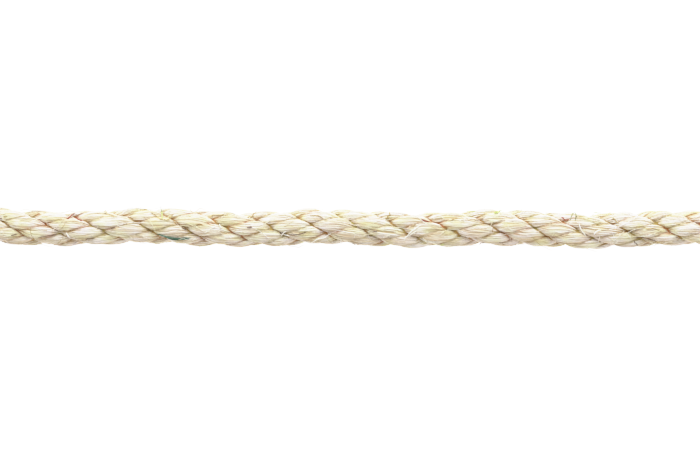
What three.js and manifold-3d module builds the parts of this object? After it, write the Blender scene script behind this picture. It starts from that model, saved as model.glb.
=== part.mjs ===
// A cut length of three-strand sisal rope, lying straight on a flat surface.
// Millimetres. +X runs along the rope and +Z is up. The origin is on the surface,
// under the middle of the rope.
//
// The rope is one solid. Its section is worked out around the rope's axis at each step:
// three strands, each an oval of four yarns. The strands are laid right-handed and the
// yarns are twisted the other way, so the strand grooves and the yarn creases cross.

import * as THREE from "three";
import { mergeVertices } from "three/addons/utils/BufferGeometryUtils.js";
import Module from "manifold-3d";

// Driving dimensions.
const ROPE_LENGTH = 168;
const ROPE_DIAMETER = 8;
const LAY_LENGTH = 29.4; // along the rope, for one full turn of a strand
const STRANDS = 3;
const YARNS = 4; // in each strand

// The oval of one strand. It bulges out from the rope and is pressed wider against its neighbours.
const STRAND_CENTRE = 1.93; // from the rope's axis
const STRAND_DEPTH = ROPE_DIAMETER / 2 - STRAND_CENTRE; // half its size, outwards
const STRAND_SPREAD = 1.22; // its half width over its half depth
const YARN_RADIUS = 1.27; // the round of a yarn on the strand's surface
const YARN_OFFSET = STRAND_DEPTH - YARN_RADIUS; // from the strand's centre to the yarn's

// The strands swell and thin a little along the rope, each at its own pace.
const SWELL = [
  { strand: 0, amount: 0.025, wave: 49, start: 0.6 },
  { strand: 1, amount: 0.03, wave: 39, start: 2.4 },
  { strand: 2, amount: 0.02, wave: 57, start: 4.1 },
];

// The cut ends spring open a little over their last stretch.
const END_SWELL = 0.06;
const END_STRETCH = 4.5;

// Where a groove between two strands crosses the top of the rope. The lay is uneven by hand.
const GROOVES = [
  -76.6, -66.8, -57.0, -46.4, -37.5, -27.3, -17.4, -7.8, 2.0,
  11.9, 22.1, 32.3, 41.6, 51.2, 61.9, 70.7, 79.8,
];

// The yarns turn in their strand against its own turn. One value for each strand.
const YARN_TURNS_A_LAY = [2.47, 2.35, 2.385];
const YARN_START = [0.044, 0.071, 0.096]; // in turns
const YARN_SWELL = 0.035; // how much thicker or thinner a yarn gets

// The rope isn't quite straight: its axis sways a little from side to side.
const SWAY = 0.35;
const SWAY_LENGTH = 39.5; // from one bow to the next on the same side
const SWAY_START = -64.5; // where the first bow towards -Y is

// The underside is pressed flat by this much where it rests.
const REST_FLAT = 0.3;
const AXIS_HEIGHT = ROPE_DIAMETER / 2 - REST_FLAT;

// The mesh's fineness.
const STEPS = 200;
const POINTS_A_STRAND = 9;

const TURN = 2 * Math.PI;
const SECTOR = TURN / STRANDS;
const YARN_SECTOR = TURN / YARNS;

// The strands' turn at x, in radians: it grows by a third of a turn from groove to groove.
function layTurn(x) {
  const spacing = LAY_LENGTH / STRANDS;
  const last = GROOVES.length - 1;
  if (x <= GROOVES[0]) {
    return SECTOR * (x - GROOVES[0]) / spacing;
  }
  if (x >= GROOVES[last]) {
    return SECTOR * (last + (x - GROOVES[last]) / spacing);
  }
  let i = 0;
  while (x > GROOVES[i + 1]) {
    i += 1;
  }
  // A cubic between two grooves, with the mean slope of its neighbours at each end.
  const gap = GROOVES[i + 1] - GROOVES[i];
  const before = i > 0 ? GROOVES[i] - GROOVES[i - 1] : spacing;
  const after = i + 2 <= last ? GROOVES[i + 2] - GROOVES[i + 1] : spacing;
  const slopeIn = 2 * gap / (before + gap);
  const slopeOut = 2 * gap / (after + gap);
  const t = (x - GROOVES[i]) / gap;
  const rise = slopeIn * t * (1 - t) ** 2 + t * t * (3 - 2 * t) - slopeOut * t * t * (1 - t);
  return SECTOR * (i + rise);
}

// How much wider the rope is at x than at its middle.
function endSwell(x) {
  const t = THREE.MathUtils.clamp(1 - (ROPE_LENGTH / 2 - Math.abs(x)) / END_STRETCH, 0, 1);
  return 1 + END_SWELL * t * t * (3 - 2 * t);
}

// How far the rope's axis lies from y = 0 at x.
function sway(x) {
  return -SWAY * Math.cos(TURN * (x - SWAY_START) / SWAY_LENGTH);
}

// How far the yarns of a strand have turned inside it.
function yarnTurn(strand, x) {
  return TURN * YARN_START[strand] - YARN_TURNS_A_LAY[strand] * layTurn(x);
}

// The outline of a strand from its own centre, at an angle from there: rounds of yarn with
// creases between them.
function yarnOutline(strand, angle, x) {
  const around = angle - yarnTurn(strand, x);
  const number = Math.round(around / YARN_SECTOR);
  const a = around - YARN_SECTOR * number;
  const yarn = (number % YARNS + YARNS) % YARNS;
  const wave = 17 + 5 * yarn + 3 * strand;
  const size = 1 + YARN_SWELL * Math.sin(TURN * x / wave + 1.7 * yarn + 2.1 * strand);
  const height = Math.sqrt(YARN_RADIUS ** 2 - (YARN_OFFSET * Math.sin(a)) ** 2);
  return size * (YARN_OFFSET * Math.cos(a) + height);
}

// How far a strand reaches from the rope's axis, at an angle from the strand's own middle.
function strandReach(strand, angle, x) {
  const swell = SWELL[strand];
  const size = 1 + swell.amount * Math.sin(TURN * x / swell.wave + swell.start);
  let inside = 0.4 * STRAND_CENTRE;
  let outside = ROPE_DIAMETER;
  for (let i = 0; i < 40; i += 1) {
    const reach = (inside + outside) / 2;
    const out = reach * Math.cos(angle) - STRAND_CENTRE;
    const side = reach * Math.sin(angle) / STRAND_SPREAD;
    if (Math.hypot(out, side) < size * yarnOutline(strand, Math.atan2(side, out), x)) {
      inside = reach;
    } else {
      outside = reach;
    }
  }
  return inside;
}

// One section of the rope: its points run once round the axis, strand by strand. Angles count
// from the top of the rope towards -Y. Where two strands overlap, the outer one shows.
function section(x) {
  const points = [];
  const turn = layTurn(x);
  for (let strand = 0; strand < STRANDS; strand += 1) {
    for (let j = 0; j < POINTS_A_STRAND; j += 1) {
      const angle = SECTOR * (0.5 - j / POINTS_A_STRAND);
      const side = angle < 0 ? -1 : 1;
      const next = (strand - side + STRANDS) % STRANDS;
      const own = strandReach(strand, angle, x);
      const other = strandReach(next, angle - side * SECTOR, x);
      const reach = endSwell(x) * Math.max(own, other);
      const around = turn - SECTOR * (strand + 0.5) + angle;
      const y = sway(x) - reach * Math.sin(around);
      points.push(new THREE.Vector3(x, y, AXIS_HEIGHT + reach * Math.cos(around)));
    }
  }
  return points;
}

// The whole rope as a closed mesh, with a flat cut at each end.
function ropeGeometry() {
  const position = [];
  const index = [];
  const round = STRANDS * POINTS_A_STRAND;
  for (let step = 0; step <= STEPS; step += 1) {
    const x = ROPE_LENGTH * (step / STEPS - 0.5);
    for (const point of section(x)) {
      position.push(point.x, point.y, point.z);
    }
  }
  for (let step = 0; step < STEPS; step += 1) {
    for (let j = 0; j < round; j += 1) {
      const a = step * round + j;
      const b = step * round + (j + 1) % round;
      // Each square is split along the yarn creases, so the creases stay sharp.
      index.push(a, a + round, b + round, a, b + round, b);
    }
  }
  const start = position.length / 3;
  for (const x of [-ROPE_LENGTH / 2, ROPE_LENGTH / 2]) {
    position.push(x, sway(x), AXIS_HEIGHT);
  }
  for (let j = 0; j < round; j += 1) {
    const next = (j + 1) % round;
    index.push(start, j, next);
    index.push(start + 1, STEPS * round + next, STEPS * round + j);
  }
  const geometry = new THREE.BufferGeometry();
  geometry.setAttribute("position", new THREE.Float32BufferAttribute(position, 3));
  geometry.setIndex(index);
  return geometry;
}

const wasm = await Module();
wasm.setup();

function toSolid(geometry) {
  const bare = geometry.clone();
  bare.deleteAttribute("normal");
  bare.deleteAttribute("uv");
  const merged = mergeVertices(bare);
  const vertProperties = new Float32Array(merged.attributes.position.array);
  const triVerts = new Uint32Array(merged.index.array);
  return new wasm.Manifold(new wasm.Mesh({ numProp: 3, vertProperties, triVerts }));
}

function toGeometry(solid) {
  const mesh = solid.getMesh();
  const geometry = new THREE.BufferGeometry();
  geometry.setAttribute("position", new THREE.BufferAttribute(mesh.vertProperties, 3));
  geometry.setIndex(new THREE.BufferAttribute(mesh.triVerts, 1));
  geometry.computeVertexNormals();
  return geometry;
}

// The surface that the rope rests on takes off what would lie below it.
function restingSurface() {
  const slab = new THREE.BoxGeometry(2 * ROPE_LENGTH, 4 * ROPE_DIAMETER, ROPE_DIAMETER);
  slab.translate(0, 0, -ROPE_DIAMETER / 2);
  return slab;
}

function makeRope() {
  const solid = toSolid(ropeGeometry()).subtract(toSolid(restingSurface()));
  const sisal = new THREE.MeshStandardMaterial({ color: 0xe9dcc3, roughness: 0.85, metalness: 0 });
  const rope = new THREE.Mesh(toGeometry(solid), sisal);
  rope.name = "rope";
  return rope;
}

const part = new THREE.Group();
part.add(makeRope());

export default part;
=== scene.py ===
# A straight cut length of three-strand sisal rope on a plain white floor, seen from above.
# The rope's form is worked out in millimetres, and its meshes are made in metres.

import math

import bpy
import numpy as np
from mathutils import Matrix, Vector


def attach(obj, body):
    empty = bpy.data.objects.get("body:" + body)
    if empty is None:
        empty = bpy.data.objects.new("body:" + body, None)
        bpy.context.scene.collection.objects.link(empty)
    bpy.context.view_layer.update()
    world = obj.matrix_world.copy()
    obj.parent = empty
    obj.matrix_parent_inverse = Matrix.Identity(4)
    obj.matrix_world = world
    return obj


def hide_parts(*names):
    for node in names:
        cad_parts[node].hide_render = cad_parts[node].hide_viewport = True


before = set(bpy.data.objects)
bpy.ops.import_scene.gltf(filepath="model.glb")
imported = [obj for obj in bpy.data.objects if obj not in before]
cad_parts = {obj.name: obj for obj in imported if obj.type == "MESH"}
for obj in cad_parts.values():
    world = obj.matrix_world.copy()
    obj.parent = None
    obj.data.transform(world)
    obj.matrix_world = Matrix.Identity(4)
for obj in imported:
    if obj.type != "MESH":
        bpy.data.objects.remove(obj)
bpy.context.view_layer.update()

MM = 0.001
TURN = 2 * math.pi

# The rope, with the same sizes as its solid.
ROPE_LENGTH = 168.0
ROPE_DIAMETER = 8.0
LAY_LENGTH = 29.4  # along the rope, for one full turn of a strand
STRANDS = 3
YARNS = 4  # in each strand
SECTOR = TURN / STRANDS
YARN_SECTOR = TURN / YARNS

# The oval of one strand, with rounds of yarn on it.
STRAND_CENTRE = 1.93  # from the rope's axis
STRAND_DEPTH = ROPE_DIAMETER / 2 - STRAND_CENTRE  # half its size, outwards
STRAND_SPREAD = 1.22  # its half width over its half depth
YARN_RADIUS = 1.27
YARN_OFFSET = STRAND_DEPTH - YARN_RADIUS  # from the strand's centre to the yarn's

# The strands swell and thin along the rope, each at its own pace, and the cut ends spring open.
SWELL_AMOUNT = np.array([0.025, 0.03, 0.02])
SWELL_WAVE = np.array([49.0, 39.0, 57.0])
SWELL_START = np.array([0.6, 2.4, 4.1])
END_SWELL = 0.06
END_STRETCH = 4.5

# Where a groove between two strands crosses the top of the rope.
GROOVES = np.array([
    -76.6, -66.8, -57.0, -46.4, -37.5, -27.3, -17.4, -7.8, 2.0,
    11.9, 22.1, 32.3, 41.6, 51.2, 61.9, 70.7, 79.8,
])

# The yarns turn in their strand against its own turn. One value for each strand.
YARN_TURNS_A_LAY = np.array([2.47, 2.35, 2.385])
YARN_START = np.array([0.044, 0.071, 0.096])  # in turns
YARN_SWELL = 0.035

# The axis sways a little from side to side, and the underside is pressed flat where it rests.
SWAY = 0.35
SWAY_LENGTH = 39.5  # from one bow to the next on the same side
SWAY_START = -64.5  # where the first bow towards -Y is
REST_FLAT = 0.3
AXIS_HEIGHT = ROPE_DIAMETER / 2 - REST_FLAT

# The photograph's frame. The rope runs a little downhill in it, just above its middle.
FRAME_WIDE = 700
FRAME_VIEW = 157.8  # how much of the rope the frame's width takes in
PIXEL = FRAME_VIEW / FRAME_WIDE
ROPE_DROP = 3.0  # pixels, from the left edge to the right
ROPE_ABOVE_MIDDLE = 5.2  # pixels
CAMERA_HEIGHT = 800.0


def make_camera():
    """It looks straight down on the rope."""
    data = bpy.data.cameras.new("camera")
    data.type = "PERSP"
    data.sensor_width = 36.0
    away = CAMERA_HEIGHT - AXIS_HEIGHT
    data.lens = data.sensor_width * away / FRAME_VIEW
    data.clip_start = 0.01
    data.clip_end = 50.0
    camera = bpy.data.objects.new("camera", data)
    bpy.context.scene.collection.objects.link(camera)
    below = ROPE_ABOVE_MIDDLE * PIXEL
    camera.location = Vector((0.0, -below, CAMERA_HEIGHT)) * MM
    camera.rotation_euler = (0.0, 0.0, ROPE_DROP / FRAME_WIDE)
    bpy.context.scene.camera = camera


# The form of the rope.


def smooth(t):
    """A soft step from 0 to 1."""
    t = np.clip(t, 0.0, 1.0)
    return t * t * (3 - 2 * t)


def lay_turn(x):
    """The strands' turn at x: it grows by a third of a turn from groove to groove."""
    spacing = LAY_LENGTH / STRANDS
    gap = np.diff(GROOVES)
    last = len(GROOVES) - 1
    i = np.clip(np.searchsorted(GROOVES, x) - 1, 0, last - 1)
    before = np.r_[spacing, gap][i]
    after = np.r_[gap, spacing][i + 1]
    here = gap[i]
    t = (x - GROOVES[i]) / here
    slope_in = 2 * here / (before + here)
    slope_out = 2 * here / (after + here)
    rise = slope_in * t * (1 - t) ** 2 + t * t * (3 - 2 * t) - slope_out * t * t * (1 - t)
    turns = i + rise
    turns = np.where(x < GROOVES[0], (x - GROOVES[0]) / spacing, turns)
    turns = np.where(x > GROOVES[last], last + (x - GROOVES[last]) / spacing, turns)
    return SECTOR * turns


def end_swell(x):
    """How much wider the rope is than at its middle."""
    return 1 + END_SWELL * smooth(1 - (ROPE_LENGTH / 2 - np.abs(x)) / END_STRETCH)


def sway(x):
    """How far the rope's axis lies from y = 0."""
    return -SWAY * np.cos(TURN * (x - SWAY_START) / SWAY_LENGTH)


def strand_size(strand, x):
    """How thick a strand is, against its usual size."""
    wave = np.sin(TURN * x / SWELL_WAVE[strand] + SWELL_START[strand])
    return 1 + SWELL_AMOUNT[strand] * wave


def yarn_turn(strand, x):
    """How far the yarns have turned inside their strand."""
    return TURN * YARN_START[strand] - YARN_TURNS_A_LAY[strand] * lay_turn(x)


def yarn_size(strand, number, x):
    """Each yarn is a little thicker or thinner than the next, and not for long."""
    wave = 17.0 + 5.0 * number + 3.0 * strand
    return 1 + YARN_SWELL * np.sin(TURN * x / wave + 1.7 * number + 2.1 * strand)


def yarn_round(angle):
    """A yarn's outline from the strand's centre, at an angle from the yarn's own middle."""
    height = np.sqrt(YARN_RADIUS ** 2 - (YARN_OFFSET * np.sin(angle)) ** 2)
    return YARN_OFFSET * np.cos(angle) + height


def wrap(angle, period):
    """The angle, brought to within half a period of zero."""
    return angle - period * np.round(angle / period)


def place(strand, out, side, x):
    """A point beside a strand's centre, as a point of the rope."""
    middle = lay_turn(x) - SECTOR * (strand + 0.5)
    wide = end_swell(x)
    y = sway(x) - wide * (out * np.sin(middle) + side * np.cos(middle))
    z = AXIS_HEIGHT + wide * (out * np.cos(middle) - side * np.sin(middle))
    return np.stack([x, y, z], axis=-1)


# Meshes.


def mesh_object(name, points, faces):
    """A mesh of quads from points in millimetres."""
    mesh = bpy.data.meshes.new(name)
    mesh.vertices.add(len(points))
    mesh.vertices.foreach_set("co", (points * MM).astype(np.float32).ravel())
    corners = faces.shape[1]
    mesh.loops.add(faces.size)
    mesh.loops.foreach_set("vertex_index", faces.astype(np.int32).ravel())
    mesh.polygons.add(len(faces))
    mesh.polygons.foreach_set("loop_start", np.arange(0, faces.size, corners, dtype=np.int32))
    mesh.update(calc_edges=True)
    mesh.validate()
    mesh.polygons.foreach_set("use_smooth", np.full(len(mesh.polygons), True))
    piece = bpy.data.objects.new(name, mesh)
    bpy.context.scene.collection.objects.link(piece)
    return piece


def add_values(piece, name, values):
    """A value for each point, which the materials read by its name."""
    attribute = piece.data.attributes.new(name, "FLOAT", "POINT")
    attribute.data.foreach_set("value", np.ascontiguousarray(values, dtype=np.float32).ravel())


SIDES = 4
FIBRE_FLAT = 0.7  # a fibre's thickness over its width
LYING_SPREAD = 0.04  # how far apart in height the tubes that rest on the surface lie
STRIPS_A_ROW = 5  # how many times longer than wide a tube's strip of the UV map is
STRIP_MARGIN = 0.12


def tubes(name, lines, outward, radius, values):
    """Many closed thin tubes as one mesh. lines and outward are (tubes, rings, 3), radius and
    each of the values are (tubes, rings). Every tube has its own strip of the UV map."""
    many, rings = radius.shape
    # What would sink into the surface lies on it instead, each tube at a height of its own.
    own = LYING_SPREAD * (np.arange(many) * 0.618 % 1)[:, None]
    lines = np.concatenate([lines[..., :2], np.maximum(lines[..., 2], radius + own)[..., None]], axis=2)
    along = np.gradient(lines, axis=1)
    along /= np.linalg.norm(along, axis=2, keepdims=True)
    up = outward - along * np.sum(outward * along, axis=2, keepdims=True)
    up /= np.linalg.norm(up, axis=2, keepdims=True)
    across = np.cross(along, up)
    turn = np.arange(SIDES) * TURN / SIDES
    ring = (up[:, :, None, :] * np.cos(turn)[None, None, :, None] * FIBRE_FLAT
            + across[:, :, None, :] * np.sin(turn)[None, None, :, None])
    points = lines[:, :, None, :] + ring * radius[:, :, None, None]
    index = np.arange(many * rings * SIDES).reshape(many, rings, SIDES)
    after = np.roll(index, -1, axis=2)
    sides = np.stack([index[:, :-1], index[:, 1:], after[:, 1:], after[:, :-1]], axis=-1)
    sides = sides.reshape(many, -1, 4)
    caps = np.stack([index[:, 0], index[:, -1][:, ::-1]], axis=1)
    faces = np.concatenate([sides, caps], axis=1).reshape(-1, 4)
    piece = mesh_object(name, points.reshape(-1, 3), faces)
    for key, value in values.items():
        add_values(piece, key, np.repeat(value[:, :, None], SIDES, axis=2))
    add_strips(piece, many, rings)
    return piece


def add_strips(piece, many, rings):
    """A UV map in which each tube has a strip of its own."""
    columns = max(1, round(math.sqrt(many / STRIPS_A_ROW)))
    rows = math.ceil(many / columns)
    u = np.linspace(STRIP_MARGIN, 1 - STRIP_MARGIN, rings)
    v = np.linspace(STRIP_MARGIN, 1 - STRIP_MARGIN, SIDES + 1)
    shape = (rings - 1, SIDES)
    left = np.broadcast_to(u[:-1, None], shape)
    right = np.broadcast_to(u[1:, None], shape)
    low = np.broadcast_to(v[:-1], shape)
    high = np.broadcast_to(v[1:], shape)
    strip = np.stack([
        np.stack([left, low], -1),
        np.stack([right, low], -1),
        np.stack([right, high], -1),
        np.stack([left, high], -1),
    ], axis=2).reshape(-1, 4, 2)
    first = np.stack([np.full(4, u[0]), v[:4]], -1)[None]
    final = np.stack([np.full(4, u[-1]), v[:4][::-1]], -1)[None]
    one = np.concatenate([strip, first, final], axis=0)
    number = np.arange(many)
    corner = np.stack([number % columns, number // columns], -1)[:, None, None, :]
    uv = (one[None] + corner) / np.array([columns, rows])
    layer = piece.data.uv_layers.new(name="OFBake")
    layer.data.foreach_set("uv", uv.astype(np.float32).ravel())


# The core: the strands' and yarns' closed form, under the fibres.

LEAST_REACH = 0.4 * STRAND_CENTRE  # where the search for a strand's reach begins
CORE_STEPS = 560
CORE_POINTS = 30
CORE_INSET = 0.09  # how far it lies under the solid's surface
CORE_REST = 0.16  # the core's lowest height, over the fibres that it rests on
DEEP_FROM = 0.35  # how far in from the rope's round a groove's stain and painted shade begin
DEEP_RANGE = 0.9  # and over how much they grow
CAP_RINGS = (0.66, 0.33, 0.02)  # the rings that close a cut end, as shares of its size
# How much of the grooves' stain and painted shade the faces of the cut ends take.
CAP_DEEP = 0.5
HALVINGS = 24


def strand_reach(strand, angle, x):
    """How far a strand reaches from the rope's axis, at an angle from the strand's middle."""
    inside = np.full(np.broadcast(angle, x).shape, LEAST_REACH)
    outside = np.full(inside.shape, ROPE_DIAMETER)
    turn = yarn_turn(strand, x)
    whole = strand_size(strand, x)
    for _ in range(HALVINGS):
        reach = (inside + outside) / 2
        out = reach * np.cos(angle) - STRAND_CENTRE
        side = reach * np.sin(angle) / STRAND_SPREAD
        around = np.arctan2(side, out) - turn
        number = np.round(around / YARN_SECTOR)
        bump = yarn_round(around - YARN_SECTOR * number) * yarn_size(strand, number % YARNS, x)
        within = np.hypot(out, side) < whole * bump
        inside = np.where(within, reach, inside)
        outside = np.where(within, outside, reach)
    return inside


def neighbour_reach(strand, angle, x):
    """How far the next strand on the angle's side reaches, at that place."""
    side = np.sign(angle).astype(int)
    best = np.zeros(np.broadcast(angle, x).shape)
    for step in (-1, 1):
        reach = strand_reach((strand - step) % STRANDS, angle - step * SECTOR, x)
        best = np.where(side == step, reach, best)
    return best


def make_core():
    """The strands and yarns as one closed form, just under the fibres."""
    x = np.linspace(-ROPE_LENGTH / 2, ROPE_LENGTH / 2, CORE_STEPS + 1)[:, None]
    angle = SECTOR * (0.5 - np.arange(CORE_POINTS) / CORE_POINTS)[None, :]
    rows = []
    deep = []
    for strand in range(STRANDS):
        reach = strand_reach(strand, angle, x)
        reach = np.maximum(reach, neighbour_reach(strand, angle, x)) - CORE_INSET
        middle = lay_turn(x) - SECTOR * (strand + 0.5) + angle
        wide = end_swell(x) * reach
        rows.append(np.stack([
            np.broadcast_to(x, reach.shape),
            sway(x) - wide * np.sin(middle),
            np.maximum(AXIS_HEIGHT + wide * np.cos(middle), CORE_REST),
        ], axis=-1))
        # Deeper into a groove, more of its stain and painted shade.
        deep.append(smooth((ROPE_DIAMETER / 2 - reach - DEEP_FROM) / DEEP_RANGE))
    points = np.concatenate(rows, axis=1)
    deep = np.concatenate(deep, axis=1)
    rings, around = points.shape[:2]
    index = np.arange(rings * around).reshape(rings, around)
    after = np.roll(index, -1, axis=1)
    sides = np.stack([index[:-1], index[1:], after[1:], after[:-1]], axis=-1).reshape(-1, 4)
    # Each cut end is closed by rings of quads that draw in to its middle.
    flat = points.reshape(-1, 3)
    extra_points = []
    extra_faces = []
    extra_deep = []
    count = len(flat)
    for ring, sign in ((0, 1), (rings - 1, -1)):
        end = points[ring, 0, 0]
        centre = np.array([end, sway(end), AXIS_HEIGHT])
        outer = index[ring]
        for scale in CAP_RINGS:
            inner = np.arange(count, count + around)
            count += around
            extra_points.append(centre + (points[ring] - centre) * scale)
            extra_deep.append(np.full(around, CAP_DEEP))
            quad = np.stack([outer, np.roll(outer, -1), np.roll(inner, -1), inner], axis=-1)
            extra_faces.append(quad[:, ::sign])
            outer = inner
    points = np.concatenate([flat, *extra_points])
    faces = np.concatenate([sides, *extra_faces])
    piece = mesh_object("rope_core", points, faces)
    add_values(piece, "deep", np.concatenate([deep.ravel(), *extra_deep]))
    return piece


# The fibres on the surface.

FIBRE_RADIUS = 0.105
RADIUS_SPREAD = 0.28
FIBRE_SLOPE = 0.36  # across the yarn, for each millimetre along the rope
SLOPE_SPREAD = 0.05
START_ANGLE = 1.5  # how far round its yarn a fibre's middle may lie, in radians
WANDER = (0.01, 0.05)  # how far it sways to and fro, in radians
WANDER_WAVE = (7.0, 16.0)  # and over what length
FIBRE_RINGS = 9
FIBRES_A_STRAND = 3000  # fewer stay, because those that show for too short a way are dropped
HALF_RUN = (3.0, 9.0)
SHORTEST_RUN = 1.2
SAMPLES = 64  # along a fibre, to find where it shows
LAYER_SPREAD = 0.05  # how far fibres lie over and under one another
DIVE = 0.22  # how deep a fibre's ends go under its neighbours, over the last millimetre
NEAR_CUT = 0.5  # a fibre that ends this near the cut goes on to it
LONG_PAST_CUT = 9.0  # more than the stretch over which a fibre dives and thins
THIN_END = 0.5  # a fibre's radius at its ends, over its radius elsewhere
THIN_STRETCH = 0.7
CREASE = math.pi / YARNS
CREASE_UNDER = 0.10  # how far past its crease a fibre goes on, under the next yarn
GROOVE_UNDER = 0.30  # the same, under the next strand
SECTOR_PAST = 0.3  # how far out of its strand's third of the round it may show, in radians
PAST_CUT = 0.8  # how far the longest fibres stand past the rope's end
GROOVE_COLOUR = 0.48  # how far up from the next strand a groove's stain and painted shade go
GROOVE_SHADE = 1.3  # and its wider painted shade
# How far before a crease its stain and painted shade start, and over how much they grow, in radians.
CREASE_COLOUR = (0.24, 0.22)
CREASE_SHADE = (0.55, 0.5)  # the same for its wider painted shade
OPEN_SHADE = 0.3  # a groove's painted shade away from the creases, over its painted shade in them
OWN_TONE = 0.8  # how much of a fibre's tone is its own, and not the painted shade of the layer it lies in


def fibre_runs(strand, rng, many):
    """Short stretches of fibre that show: each lies on its yarn, between two places where it
    goes under a neighbour."""
    centre = rng.uniform(-ROPE_LENGTH / 2, ROPE_LENGTH / 2, many)[:, None]
    half = rng.uniform(*HALF_RUN, many)[:, None]
    start_angle = rng.uniform(-START_ANGLE, START_ANGLE, many)[:, None]
    number = rng.integers(0, YARNS, many)[:, None]
    slope = rng.normal(FIBRE_SLOPE, SLOPE_SPREAD, many)[:, None] / YARN_RADIUS
    wander = rng.uniform(*WANDER, many)[:, None]
    wave = rng.uniform(*WANDER_WAVE, many)[:, None]
    start = rng.uniform(0, TURN, many)[:, None]
    cut = ROPE_LENGTH / 2 + rng.uniform(0.0, PAST_CUT, many)[:, None]

    def spot(x, lift):
        """The place on the strand of each fibre, at x and above the yarn by lift."""
        on_yarn = start_angle + slope * (x - centre) + wander * np.sin(TURN * x / wave + start)
        size = strand_size(strand, x) * yarn_size(strand, number, x)
        radius = YARN_RADIUS + lift
        beside = np.arctan2(radius * np.sin(on_yarn), YARN_OFFSET + radius * np.cos(on_yarn))
        rho = size * np.hypot(radius * np.sin(on_yarn), YARN_OFFSET + radius * np.cos(on_yarn))
        phi = yarn_turn(strand, x) + number * YARN_SECTOR + beside
        out = STRAND_CENTRE + rho * np.cos(phi)
        side = STRAND_SPREAD * rho * np.sin(phi)
        return beside, phi, out, side

    x = centre + half * np.linspace(-1, 1, SAMPLES)[None, :]
    beside, phi, out, side = spot(x, 0.0)
    theta = np.arctan2(side, out)
    shows = np.abs(beside) < CREASE + CREASE_UNDER
    shows &= np.abs(theta) < SECTOR / 2 + SECTOR_PAST
    shows &= np.abs(x) < cut
    height = np.hypot(out, side)
    shows &= height > neighbour_reach(strand, theta, x) - GROOVE_UNDER
    first, count = longest_run(shows)
    step = 2 * half[:, 0] / (SAMPLES - 1)
    keep = count * step > SHORTEST_RUN
    low = (x[:, 0] + first * step)[:, None]
    high = low + ((count - 1) * step)[:, None]
    t = np.linspace(0, 1, FIBRE_RINGS)[None, :]
    x = low + (high - low) * t
    layer = rng.uniform(-1, 1, many)[:, None]
    # A fibre dives under its neighbours at its ends, but not where the rope is cut.
    cut_low = np.where(low < NEAR_CUT - ROPE_LENGTH / 2, LONG_PAST_CUT, 0.0)
    cut_high = np.where(high > ROPE_LENGTH / 2 - NEAR_CUT, LONG_PAST_CUT, 0.0)
    ends = np.minimum(t * (high - low) + cut_low, (1 - t) * (high - low) + cut_high)
    dive = -DIVE * (1 - smooth(ends))
    beside, phi, out, side = spot(x, LAYER_SPREAD * layer + dive)
    line = place(strand, out, side, x)
    radius = rng.lognormal(math.log(FIBRE_RADIUS), RADIUS_SPREAD, many)[:, None]
    radius = radius * (THIN_END + (1 - THIN_END) * smooth(ends / THIN_STRETCH))
    centre_out = STRAND_CENTRE + YARN_OFFSET * np.cos(phi - beside)
    centre_side = STRAND_SPREAD * YARN_OFFSET * np.sin(phi - beside)
    outward = line - place(strand, centre_out, centre_side, x)
    # How near each point is to a strand groove and to a yarn crease, for its stain and its painted shade.
    theta = np.arctan2(side, out)
    above = np.hypot(out, side) - neighbour_reach(strand, theta, x)
    groove_stain_and_shade = 1 - smooth(above / GROOVE_COLOUR)
    near_groove = 1 - smooth(above / GROOVE_SHADE)
    past = np.abs(beside) - CREASE
    crease_stain_and_shade = smooth((past + CREASE_COLOUR[0]) / CREASE_COLOUR[1])
    near_crease = smooth((past + CREASE_SHADE[0]) / CREASE_SHADE[1])
    # Painted shade where a yarn dips towards a groove, deepest at the creases.
    painted_pocket_shade = near_groove * (OPEN_SHADE + (1 - OPEN_SHADE) * near_crease)
    # Fibres that lie lower among the others get a darker tone, as painted shade.
    tone = OWN_TONE * rng.uniform(0, 1, many)[:, None] + (1 - OWN_TONE) * (1 + layer) / 2
    tone = np.broadcast_to(tone, x.shape)
    return [a[keep] for a in (line, outward, radius, groove_stain_and_shade, crease_stain_and_shade, painted_pocket_shade, tone)]


def longest_run(shows):
    """The longest unbroken stretch of true values in each row: its first place and its length."""
    many, samples = shows.shape
    best_first = np.zeros(many, int)
    best_count = np.zeros(many, int)
    run = np.zeros(many, int)
    for i in range(samples):
        run = np.where(shows[:, i], run + 1, 0)
        better = run > best_count
        best_count = np.where(better, run, best_count)
        best_first = np.where(better, i - run + 1, best_first)
    return best_first, best_count


def make_fibres(strand):
    """The fibres that show on one strand, as one mesh."""
    rng = np.random.default_rng(10 + strand)
    line, outward, radius, groove_stain_and_shade, crease_stain_and_shade, painted_pocket_shade, tone = fibre_runs(strand, rng, FIBRES_A_STRAND)
    values = {"groove_stain_and_shade": groove_stain_and_shade, "crease_stain_and_shade": crease_stain_and_shade, "painted_pocket_shade": painted_pocket_shade, "tone": tone}
    return tubes(f"strand_{strand + 1}_fibres", line, outward, radius, values)


# Hairs that stand off the surface.

HAIR_RINGS = 12
HAIR_END = 0.45  # a hair's radius at its ends, over its radius elsewhere
HAIR_TAPER = 0.2  # the share of its length over which it thins
SMOOTHINGS = 3
FREE_SHARE = 0.45  # of the loose hairs, those that end in the air
HAIR_CURL = 0.5  # in radians, from one end to the other
HAIR_ARCH = 0.35  # how high a lying hair arches, over how high a free one ends
HAIR_ROOT = 0.1  # how deep a loose hair starts
HAIR_PAST_CUT = 1.0
MARK_ROOT = 0.12  # how much nearer to the rope a marked hair's ends dip
ROOT_SHARE = 0.2  # the share of a loose hair's length over which it comes up
MARK_DIP = 1 / 6  # the share of a marked hair's length over which it dips
PLACINGS = 6  # rounds in which a marked hair's angle and height are found
AXIS_ROW = 226.8  # the pixel row of the rope's axis, at the photograph's left edge
MOST_ROUND = 0.97  # the sine of the steepest angle at which a hair lies on the rope


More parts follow.
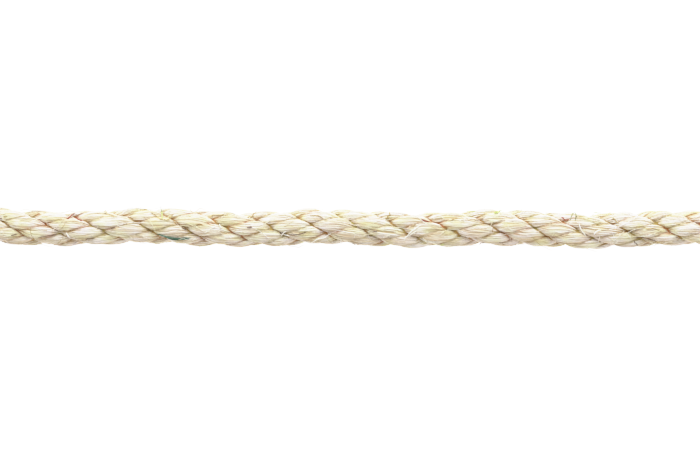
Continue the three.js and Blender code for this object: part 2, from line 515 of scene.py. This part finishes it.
def outer_reach(theta, x):
    """How far the rope's surface is from its axis, at an angle from the rope's top."""
    best = np.zeros(np.broadcast(theta, x).shape)
    for strand in range(STRANDS):
        middle = lay_turn(x) - SECTOR * (strand + 0.5)
        local = wrap(theta - middle, TURN)
        reach = strand_reach(strand, local, x)
        best = np.where(np.abs(local) < 0.75 * SECTOR, np.maximum(best, reach), best)
    return best * end_swell(x)


def relax(values):
    """Rows of values with their kinks taken out, and their ends kept."""
    for _ in range(SMOOTHINGS):
        values[:, 1:-1] = 0.25 * values[:, :-2] + 0.5 * values[:, 1:-1] + 0.25 * values[:, 2:]
    return values


def hair_tubes(name, x, theta, lift, radius):
    """Hairs whose rings are given along the rope, round it and above its surface."""
    height = outer_reach(theta, x)
    height = relax(np.maximum(height, relax(height.copy()))) + lift
    axis = np.stack([x, sway(x), np.full(x.shape, AXIS_HEIGHT)], axis=-1)
    outward = np.stack([np.zeros(x.shape), -height * np.sin(theta), height * np.cos(theta)], axis=-1)
    line = axis + outward
    t = np.linspace(0, 1, x.shape[1])
    thin = HAIR_END + (1 - HAIR_END) * smooth(np.minimum(t, 1 - t) / HAIR_TAPER)
    tone = np.broadcast_to((np.arange(len(x)) * 0.37 % 1)[:, None], x.shape)
    return tubes(name, line, outward, radius * thin, {"tone": tone})


def loose_hairs(name, seed, many, slant, length, rise, radius):
    """Hairs all over the rope. Most lie on it, and some end in the air."""
    rng = np.random.default_rng(seed)
    t = np.linspace(0, 1, HAIR_RINGS)[None, :]
    long = rng.uniform(*length, many)[:, None]
    lean = rng.normal(0.0, slant, many)[:, None]
    curl = rng.normal(0.0, HAIR_CURL, many)[:, None]
    turn = lean + curl * (t - 0.5)
    step = long / (HAIR_RINGS - 1)
    x = np.cumsum(np.cos(turn) * step, axis=1)
    middle = rng.uniform(-ROPE_LENGTH / 2, ROPE_LENGTH / 2, many)[:, None]
    x += middle - x[:, HAIR_RINGS // 2, None]
    theta = np.cumsum(np.sin(turn) * step, axis=1) / (ROPE_DIAMETER / 2)
    theta += rng.uniform(-math.pi, math.pi, many)[:, None]
    free = rng.uniform(0, 1, many)[:, None] < FREE_SHARE
    high = rng.uniform(*rise, many)[:, None]
    lift = np.where(free, high * t ** 1.5, HAIR_ARCH * high * np.sin(math.pi * t))
    lift = lift - HAIR_ROOT * (1 - smooth(t / ROOT_SHARE))
    farthest = ROPE_LENGTH / 2 + HAIR_PAST_CUT
    x = np.clip(x, -farthest, farthest)
    return hair_tubes(name, x, theta, lift, np.full((many, 1), radius))


def marked_hairs(name, lists, radius, lift):
    """Hairs that show in the photograph, each given by a few of its pixels."""
    rows_x = []
    rows_below = []  # how far below the rope's axis in the picture
    for pixels in lists:
        at = np.linspace(0, len(pixels) - 1, HAIR_RINGS)
        column = np.interp(at, range(len(pixels)), [p[0] for p in pixels])
        row = np.interp(at, range(len(pixels)), [p[1] for p in pixels])
        along = (column - FRAME_WIDE / 2) * PIXEL
        axis_row = AXIS_ROW + ROPE_DROP * column / FRAME_WIDE
        rows_x.append(along)
        rows_below.append((row - axis_row) * PIXEL + sway(along))
    x = relax(np.array(rows_x))
    below = relax(np.array(rows_below))
    t = np.linspace(0, 1, HAIR_RINGS)[None, :]
    over = lift * (1 + np.sin(math.pi * t)) / 2
    over = over - MARK_ROOT * (1 - smooth(np.minimum(t, 1 - t) / MARK_DIP))
    # The angle and the surface's height there depend on each other, so both are found in turns.
    theta = np.zeros(x.shape)
    for _ in range(PLACINGS):
        reach = outer_reach(theta, x) + over
        theta = np.arcsin(np.clip(below / reach, -MOST_ROUND, MOST_ROUND))
    # A hair that shows past the rope's edge stands off it by as much.
    over = over + np.maximum(np.abs(below) / MOST_ROUND - reach, 0.0)
    return hair_tubes(name, x, theta, over, np.full((len(x), 1), radius))


# The hairs that stand out, as columns and rows of pixels in the 700 x 467 photograph.
PALE_MARKS = [
    [(67.2, 232.4), (68.8, 235), (70.8, 237.8)],
    [(403.8, 241.3), (405, 237), (409.5, 233), (414.3, 229), (420.4, 225)],
    [(405.4, 236.6), (412, 233.8), (416, 231)],
    [(578.3, 223.6), (579, 228), (582, 232.6), (585.4, 236.2)],
    [(578.6, 226), (580.4, 230.6), (584.6, 235)],
    [(311.2, 243.2), (316, 240), (323.2, 236.8), (331, 233.2)],
    [(280.8, 232), (284.8, 234.8), (289.6, 235.8)],
    [(281.6, 236.4), (283.2, 232.8), (286.8, 231.4)],
    [(193, 240.5), (197.5, 237)],
    [(222, 228.8), (219.6, 224)],
    [(592.5, 235), (595, 231), (600, 230)],
]
FINE_PALE_MARKS = [
    [(204.4, 233.6), (210, 230.4), (217.2, 224.8)],
    [(198, 236), (204, 235), (213, 234)],
    [(340.8, 238), (341.2, 244.4)],
    [(422, 237.6), (425.5, 241), (429.4, 245.8)],
    [(610, 245.4), (614, 241), (619, 235), (624.4, 230.3)],
    [(612.5, 245.8), (617, 240.5)],
    [(626, 233.5), (630, 230.6), (636, 228.6), (643, 228)],
    [(628, 231), (626, 235), (630.5, 239)],
    [(497, 229.6), (503, 229), (509, 226)],
    [(434, 216), (437, 219), (441, 216), (445, 220)],
    [(288, 245.4), (292, 246.8), (298, 246.6), (304, 245.2)],
    [(20.5, 210.6), (28, 209.8), (41, 210.8)],
    [(143, 236.4), (150, 238), (158, 238.6)],
]
OCHRE_MARKS = [
    [(60.4, 212.6), (68, 211.8), (75.2, 211.4)],
    [(65.6, 214), (70.8, 215.4)],
    [(4.8, 216.8), (8.4, 216.4)],
    [(104.4, 212.8), (104.4, 211.2), (106, 210.4), (107.6, 212), (106.4, 213.6), (104.6, 213)],
    [(112, 216.6), (118.4, 216.8)],
    [(150.8, 212), (158, 216.8), (161.2, 219.2), (166, 220)],
    [(164.4, 219.2), (167.6, 220.4), (174, 216.8)],
    [(190, 210.4), (194.8, 212.8), (198, 209.6), (206, 209.2)],
    [(204.4, 216), (209.2, 218.8), (214, 216.8), (222, 214.4), (226, 212.8)],
    [(246.4, 217.6), (252, 216), (257.6, 216.8)],
    [(310, 216), (318, 215), (324, 219)],
    [(385.2, 218.4), (387.6, 218.8), (391.6, 217.6)],
    [(389.2, 211.4), (389.8, 216.4)],
    [(410, 227.2), (415.6, 224.4)],
    [(416.4, 240.8), (418.8, 238.4), (422, 236.8)],
    [(472.8, 219.2), (477.6, 220), (484.8, 217.2)],
    [(448, 221.2), (456.8, 218)],
    [(544.8, 212.8), (551.2, 213.6)],
    [(610.5, 222.5), (614, 221.8), (618.5, 223.5)],
    [(620, 226.8), (625, 229.6), (630, 231.4)],
    [(630, 231.7), (636.7, 227.8), (644.5, 227.3)],
    [(644, 229.6), (653, 228.4), (660, 231.7)],
    [(648, 244.4), (655, 243), (664, 241.6)],
    [(652, 245.2), (658, 244.4), (664.6, 242.4)],
    [(645, 241), (652, 242), (661, 242)],
]
WINE_MARKS = [
    [(38.4, 238.2), (44.8, 236.8), (52, 235.6), (57.6, 234)],
    [(12, 235.8), (18.5, 234)],
    [(87.2, 239.2), (95.2, 238.4)],
    [(112, 228.8), (116, 227.2)],
    [(0.0, 218.8), (3.2, 219.2)],
    [(247.2, 227.5), (252.8, 227.2)],
    [(247.6, 227.7), (252.4, 227.4)],
    [(182, 227.4), (187, 229.8)],
    [(289, 234.6), (294.4, 235.2), (300, 234.4), (306.4, 232)],
    [(352.4, 243.4), (355.6, 245)],
    [(372.8, 231.6), (377.2, 231.2)],
    [(634, 236.4), (643.5, 238), (650, 239.4), (657, 242.3)],
    [(625.4, 229.8), (628.4, 231), (631.4, 231.4)],
    [(279.6, 231.6), (282, 234.6), (287, 234)],
    [(633, 242), (637, 241)],
    [(478.6, 243.6), (484.6, 243)],
]
RED_MARKS = [
    [(68.2, 219.4), (70, 217.6), (72, 215), (75.4, 213)],
    [(76, 217.8), (79.4, 219.2), (84.5, 221.6)],
    [(420.4, 219.2), (424.4, 220.6), (428.8, 222.4)],
    [(421.4, 219.8), (424.6, 221), (427.8, 222.2)],
    [(560.6, 219.2), (564.5, 220.6), (568.4, 219.4)],
]
TEAL_MARKS = [
    [(157.6, 234.2), (163, 235.8), (168, 237.2), (173, 238.2), (181, 238.7), (191.6, 238)],
    [(165.5, 237.2), (172, 239.2), (179, 239.8), (190, 239)],
]
GREEN_MARKS = [
    [(160.6, 206.6), (161.4, 209.6), (162.4, 214.4)],
    [(569.4, 220.6), (570, 216.6), (571.8, 213), (574.6, 211), (576, 213.4), (575.6, 218), (574, 221)],
]
LIME_MARKS = [
    [(162, 211), (162.8, 216), (163, 219.6)],
    [(466.2, 211.6), (470, 211.2), (475.2, 211.6)],
    [(492.8, 212.8), (497.6, 211.4), (502, 210.4)],
    [(493.6, 213.2), (498.4, 212)],
    [(593, 212.4), (597, 213.2), (601, 212.8)],
    [(440, 245.4), (444, 244)],
]

# The cut ends.

TIPS_A_YARN = 85
TIP_RINGS = 6
TIP_ROOT = 1.5  # how far inside the rope a tip starts
TIP_LENGTH = 1.7  # how far the longest stands past the rope's end
TIP_SHORT = 0.1  # squared, the shortest one's length over the longest one's
TIP_SPLAY = 0.09  # how much it spreads, for each millimetre past the end
TIP_SPREAD = 0.2  # how much the tips' radii differ
TIP_THIN = 0.75  # a tip's radius at its free end, over its radius at its root


def make_tips(name, end):
    """The fibres' cut ends, which spread a little past the rope's end."""
    rng = np.random.default_rng(40 + end)
    lines = []
    outward = []
    for strand in range(STRANDS):
        for number in range(YARNS):
            spread = YARN_RADIUS * np.sqrt(rng.uniform(0, 0.9, TIPS_A_YARN))[:, None]
            turn = rng.uniform(0, TURN, TIPS_A_YARN)[:, None]
            long = rng.uniform(TIP_SHORT, 1.0, TIPS_A_YARN)[:, None] ** 2 * TIP_LENGTH
            t = np.linspace(0, 1, TIP_RINGS)[None, :]
            along = -TIP_ROOT + t * (TIP_ROOT + long)
            x = end * (ROPE_LENGTH / 2 + along)
            phi = yarn_turn(strand, x) + number * YARN_SECTOR
            past = np.maximum(along, 0.0)
            fray = 1 + TIP_SPLAY * past * rng.uniform(0.2, 1.0, TIPS_A_YARN)[:, None]
            out = STRAND_CENTRE + YARN_OFFSET * np.cos(phi) + spread * fray * np.cos(turn)
            side = STRAND_SPREAD * (YARN_OFFSET * np.sin(phi) + spread * fray * np.sin(turn))
            line = place(strand, fray * out, fray * side, x)
            lines.append(line)
            axis = np.stack([x, sway(x), np.full(x.shape, AXIS_HEIGHT)], axis=-1)
            outward.append(line - axis + np.array([0.0, 0.0, 0.01]))
    line = np.concatenate(lines)
    outward = np.concatenate(outward)
    shape = line.shape[:2]
    radius = rng.lognormal(math.log(FIBRE_RADIUS), TIP_SPREAD, (shape[0], 1))
    radius = radius * np.linspace(1, TIP_THIN, shape[1])
    tone = np.broadcast_to(rng.uniform(0.1, 0.9, (shape[0], 1)), shape)
    return tubes(name, line, outward, radius, {"tone": tone})


# Materials.


def new_material(name):
    """A material with one Principled shader, to be filled in."""
    material = bpy.data.materials.new(name)
    material.use_nodes = True
    tree = material.node_tree
    tree.nodes.clear()
    output = tree.nodes.new("ShaderNodeOutputMaterial")
    shader = tree.nodes.new("ShaderNodeBsdfPrincipled")
    tree.links.new(shader.outputs["BSDF"], output.inputs["Surface"])
    return material, tree, shader


def attribute(tree, name):
    """A value that a mesh carries on its points."""
    node = tree.nodes.new("ShaderNodeAttribute")
    node.attribute_name = name
    return node.outputs["Fac"]


def ramp(tree, value, stops):
    """Colours along a value, as pairs of a place and a colour."""
    node = tree.nodes.new("ShaderNodeValToRGB")
    while len(node.color_ramp.elements) < len(stops):
        node.color_ramp.elements.new(0.5)
    for element, (at, colour) in zip(node.color_ramp.elements, stops):
        element.position = at
        element.color = (*colour, 1.0)
    tree.links.new(value, node.inputs["Fac"])
    return node.outputs["Color"]


def mix(tree, amount, first, second, blend="MIX"):
    """Two colours in one. Each input is a socket or a plain value."""
    node = tree.nodes.new("ShaderNodeMix")
    node.data_type = "RGBA"
    node.blend_type = blend
    sockets = {"Factor": node.inputs[0], "A": node.inputs[6], "B": node.inputs[7]}
    for key, value in (("Factor", amount), ("A", first), ("B", second)):
        if isinstance(value, bpy.types.NodeSocket):
            tree.links.new(value, sockets[key])
        elif key == "Factor":
            sockets[key].default_value = value
        else:
            sockets[key].default_value = (*value, 1.0)
    return node.outputs[2]


def math_node(tree, operation, first, second):
    """A sum on two values. Each is a socket or a number."""
    node = tree.nodes.new("ShaderNodeMath")
    node.operation = operation
    for socket, value in zip(node.inputs, (first, second)):
        if isinstance(value, bpy.types.NodeSocket):
            tree.links.new(value, socket)
        else:
            socket.default_value = value
    return node.outputs["Value"]


def noise(tree, scale, detail, stretch=(1.0, 1.0, 1.0)):
    """Noise in the object's own space. A stretch below 1 along X draws it out along the rope."""
    where = tree.nodes.new("ShaderNodeTexCoord")
    mapping = tree.nodes.new("ShaderNodeMapping")
    mapping.inputs["Scale"].default_value = stretch
    tree.links.new(where.outputs["Object"], mapping.inputs["Vector"])
    node = tree.nodes.new("ShaderNodeTexNoise")
    node.inputs["Scale"].default_value = scale
    node.inputs["Detail"].default_value = detail
    tree.links.new(mapping.outputs["Vector"], node.inputs["Vector"])
    return node.outputs["Fac"]


# The stains and painted shade in the grooves and creases, and the painted shade where a yarn dips towards
# a groove.
OLIVE = (0.43, 0.34, 0.11)
OCHRE = (0.44, 0.26, 0.08)
RUST = (0.45, 0.19, 0.065)
PAINTED_POCKET_SHADE = (0.50, 0.325, 0.20)
PAINTED_POCKET_SHADE_SHARE = 0.7
GROOVE_SHARE = 0.85


def groove_stain_and_shade_colour(tree):
    """The grooves' stain and painted shade turn from olive to rust along the rope."""
    return ramp(tree, noise(tree, 230.0, 2.0), [(0.38, OLIVE), (0.5, OCHRE), (0.62, RUST)])


def fibre_material():
    """Pale dry fibre: each fibre has its tone, darker as painted shade for fibres that lie lower,
    with streaks along it, patches of pink and green cast, and ochre stains with painted shade in the
    creases and grooves."""
    material, tree, shader = new_material("sisal_fibre")
    tone = ramp(tree, attribute(tree, "tone"), [
        (0.0, (0.44, 0.31, 0.14)),
        (0.05, (0.66, 0.57, 0.37)),
        (0.22, (0.82, 0.77, 0.62)),
        (0.60, (0.89, 0.86, 0.77)),
        (1.0, (0.94, 0.93, 0.90)),
    ])
    streak = ramp(tree, noise(tree, 900.0, 3.0, (0.25, 1.0, 1.0)), [
        (0.3, (0.88, 0.81, 0.64)),
        (0.6, (1.0, 1.0, 1.0)),
    ])
    cast = ramp(tree, noise(tree, 330.0, 2.0, (0.6, 1.0, 1.0)), [
        (0.36, (1.0, 0.95, 0.985)),
        (0.5, (1.0, 0.975, 0.975)),
        (0.64, (0.97, 0.98, 0.82)),
    ])
    coloured = mix(tree, 1.0, mix(tree, 1.0, tone, streak, "MULTIPLY"), cast, "MULTIPLY")
    # Patches along the creases, where their stain and painted shade show more or less.
    crease_patches = ramp(tree, noise(tree, 260.0, 3.0), [
        (0.38, (0.15, 0.15, 0.15)),
        (0.60, (1.0, 1.0, 1.0)),
    ])
    creased = math_node(tree, "MULTIPLY", attribute(tree, "crease_stain_and_shade"), crease_patches)
    grooved = math_node(tree, "MULTIPLY", attribute(tree, "groove_stain_and_shade"), GROOVE_SHARE)
    painted_pocket_shade = math_node(tree, "MULTIPLY", attribute(tree, "painted_pocket_shade"), PAINTED_POCKET_SHADE_SHARE)
    # Painted shade where a yarn dips towards a groove.
    shaded = mix(tree, painted_pocket_shade, coloured, PAINTED_POCKET_SHADE)
    # The grooves and creases take their stain with painted shade.
    colour = mix(tree, math_node(tree, "MAXIMUM", creased, grooved), shaded, groove_stain_and_shade_colour(tree))
    tree.links.new(colour, shader.inputs["Base Color"])
    rough = tree.nodes.new("ShaderNodeMapRange")
    tree.links.new(noise(tree, 1500.0, 2.0), rough.inputs["Value"])
    rough.inputs["To Min"].default_value = 0.5
    rough.inputs["To Max"].default_value = 0.75
    tree.links.new(rough.outputs["Result"], shader.inputs["Roughness"])
    shader.inputs["Specular IOR Level"].default_value = 0.25
    return material


def dyed_material(name, dark, light):
    """A hair of one colour, streaked from dark to light."""
    material, tree, shader = new_material(name)
    colour = ramp(tree, noise(tree, 1100.0, 3.0, (0.4, 1.0, 1.0)), [(0.35, dark), (0.65, light)])
    tree.links.new(colour, shader.inputs["Base Color"])
    shader.inputs["Roughness"].default_value = 0.6
    return material


def core_material():
    """What shows between the fibres: painted darker, as shade under them, and with the grooves' stain and
    painted shade like them.
    """
    material, tree, shader = new_material("sisal_core")
    base = ramp(tree, noise(tree, 1200.0, 4.0, (0.15, 1.0, 1.0)), [
        (0.3, (0.70, 0.52, 0.30)),
        (0.6, (0.86, 0.76, 0.56)),
    ])
    colour = mix(tree, attribute(tree, "deep"), base, groove_stain_and_shade_colour(tree))
    tree.links.new(colour, shader.inputs["Base Color"])
    shader.inputs["Roughness"].default_value = 0.8
    return material


# The floor and the light, in metres.

FLOOR_HALF = 2.0
FLOOR_BELOW = 0.0001
FLOOR_COLOUR = (0.1, 0.1, 0.1)  # nearly all of its light is its own glow
FLOOR_GLOW = 1.75
WORLD_COLOUR = (1.0, 0.955, 0.94)
WORLD_STRENGTH = 0.75
KEY_PLACE = (0.0, 0.5, 0.35)
KEY_SIZE = (1.1, 0.6)
KEY_POWER = 5.5
KEY_COLOUR = (0.91, 1.0, 1.05)
WHITE_LEVEL = 1.75
ROLL_OFF = [(0.80, 0.80), (1.05, 0.92), (1.35, 0.965)]  # levels of light, and how bright each shows


def make_floor():
    """A plain white floor that glows like a light table, so no shadow shows on it."""
    mesh = bpy.data.meshes.new("floor")
    corners = [(x * FLOOR_HALF, y * FLOOR_HALF, 0.0) for x, y in ((-1, -1), (1, -1), (1, 1), (-1, 1))]
    mesh.from_pydata(corners, [], [(0, 1, 2, 3)])
    floor = bpy.data.objects.new("floor", mesh)
    bpy.context.scene.collection.objects.link(floor)
    floor.location.z = -FLOOR_BELOW
    material, tree, shader = new_material("floor_white")
    shader.inputs["Base Color"].default_value = (*FLOOR_COLOUR, 1.0)
    shader.inputs["Roughness"].default_value = 0.9
    shader.inputs["Emission Color"].default_value = (1.0, 1.0, 1.0, 1.0)
    shader.inputs["Emission Strength"].default_value = FLOOR_GLOW
    mesh.materials.append(material)


def make_key():
    """A large soft light behind the rope, aimed at its middle."""
    data = bpy.data.lights.new("key", "AREA")
    data.shape = "RECTANGLE"
    data.size = KEY_SIZE[0]
    data.size_y = KEY_SIZE[1]
    data.energy = KEY_POWER
    data.color = KEY_COLOUR
    light = bpy.data.objects.new("key", data)
    bpy.context.scene.collection.objects.link(light)
    light.location = KEY_PLACE
    light.rotation_euler = (-Vector(KEY_PLACE)).to_track_quat("-Z", "Y").to_euler()
    light.visible_camera = False


def make_world():
    """Soft light from every side."""
    world = bpy.data.worlds.new("studio")
    bpy.context.scene.world = world
    world.use_nodes = True
    background = world.node_tree.nodes["Background"]
    background.inputs["Color"].default_value = (*WORLD_COLOUR, 1.0)
    background.inputs["Strength"].default_value = WORLD_STRENGTH


def set_tones():
    """The brightest parts roll off gently towards white."""
    view = bpy.context.scene.view_settings
    view.view_transform = "Standard"
    view.use_curve_mapping = True
    mapping = view.curve_mapping
    mapping.white_level = (WHITE_LEVEL, WHITE_LEVEL, WHITE_LEVEL)
    curve = mapping.curves[3]
    for level, shown in ROLL_OFF:
        curve.points.new(level / WHITE_LEVEL, shown)
    for point in curve.points:
        point.handle_type = "VECTOR"
    mapping.update()


# The hairs that show in the photograph: name, places, radius, lift, darkest and palest colour.
MARKS = [
    ("pale_hairs", PALE_MARKS, 0.14, 0.55, (0.86, 0.82, 0.70), (0.95, 0.94, 0.90)),
    ("fine_pale_hairs", FINE_PALE_MARKS, 0.095, 0.45, (0.66, 0.60, 0.44), (0.90, 0.88, 0.80)),
    ("ochre_hairs", OCHRE_MARKS, 0.095, 0.30, (0.36, 0.24, 0.07), (0.62, 0.47, 0.19)),
    ("wine_hairs", WINE_MARKS, 0.10, 0.34, (0.10, 0.045, 0.03), (0.22, 0.115, 0.075)),
    ("red_hairs", RED_MARKS, 0.13, 0.30, (0.24, 0.035, 0.02), (0.38, 0.09, 0.045)),
    ("teal_hairs", TEAL_MARKS, 0.20, 0.40, (0.02, 0.07, 0.045), (0.10, 0.20, 0.13)),
    ("green_hairs", GREEN_MARKS, 0.09, 0.35, (0.10, 0.16, 0.04), (0.34, 0.36, 0.17)),
    ("lime_hairs", LIME_MARKS, 0.12, 0.40, (0.42, 0.55, 0.10), (0.66, 0.75, 0.28)),
]


def dress_core():
    """All that lies on the core, with its materials."""
    fibres = [make_fibres(strand) for strand in range(STRANDS)]
    tips = [make_tips("left_cut_tips", -1), make_tips("right_cut_tips", 1)]
    hairs = [
        loose_hairs(
            "loose_hairs", seed=21, many=190, slant=0.55, length=(2.5, 9.0), rise=(0.2, 1.0), radius=0.075
        ),
        loose_hairs(
            "fine_fuzz", seed=22, many=260, slant=0.9, length=(1.2, 4.0), rise=(0.2, 0.8), radius=0.055
        ),
    ]
    fibre_look = fibre_material()
    for piece in [*fibres, *tips, *hairs]:
        piece.data.materials.append(fibre_look)
    for name, lists, radius, lift, dark, light in MARKS:
        piece = marked_hairs(name, lists, radius, lift)
        piece.data.materials.append(dyed_material(name + "_look", dark, light))
        hairs.append(piece)
    return [*fibres, *tips, *hairs]


def make_rope():
    """The whole rope, shown in place of its solid, with every piece attached to the root body."""
    core = make_core()
    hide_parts("rope")
    core.data.materials.append(core_material())
    dressing = dress_core()
    for piece in [core, *dressing]:
        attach(piece, "root")


make_camera()
make_rope()
make_floor()
make_world()
make_key()
set_tones()
